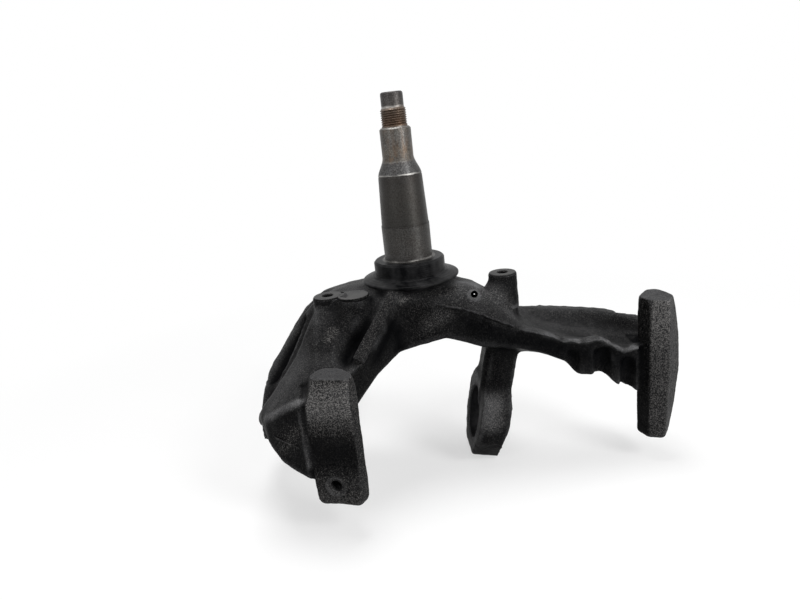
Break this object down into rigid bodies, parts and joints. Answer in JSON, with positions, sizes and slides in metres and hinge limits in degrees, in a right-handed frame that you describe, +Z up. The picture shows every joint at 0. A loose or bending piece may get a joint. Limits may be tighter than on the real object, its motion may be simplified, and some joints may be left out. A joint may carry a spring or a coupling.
{
  "type": "steering knuckle",
  "caption": "Cast iron steering knuckle with a stepped wheel spindle, a forked kingpin yoke, brake anchor bars on a short and a long arm, and a track-rod arm.",
  "frame": {"origin": "centre of the shoulder face that the inner wheel bearing stops on", "axes": "+Z up the spindle to its tip, +X to the long arm, -Y to the anchor bars"},
  "size_m": [0.3132, 0.2428, 0.2837],
  "materials": {
    "casting": "black paint over a sand-cast skin, with a bare turned spindle"
  },
  "bodies": {
    "root": {"knuckle": "casting"}
  },
  "joints": []
}
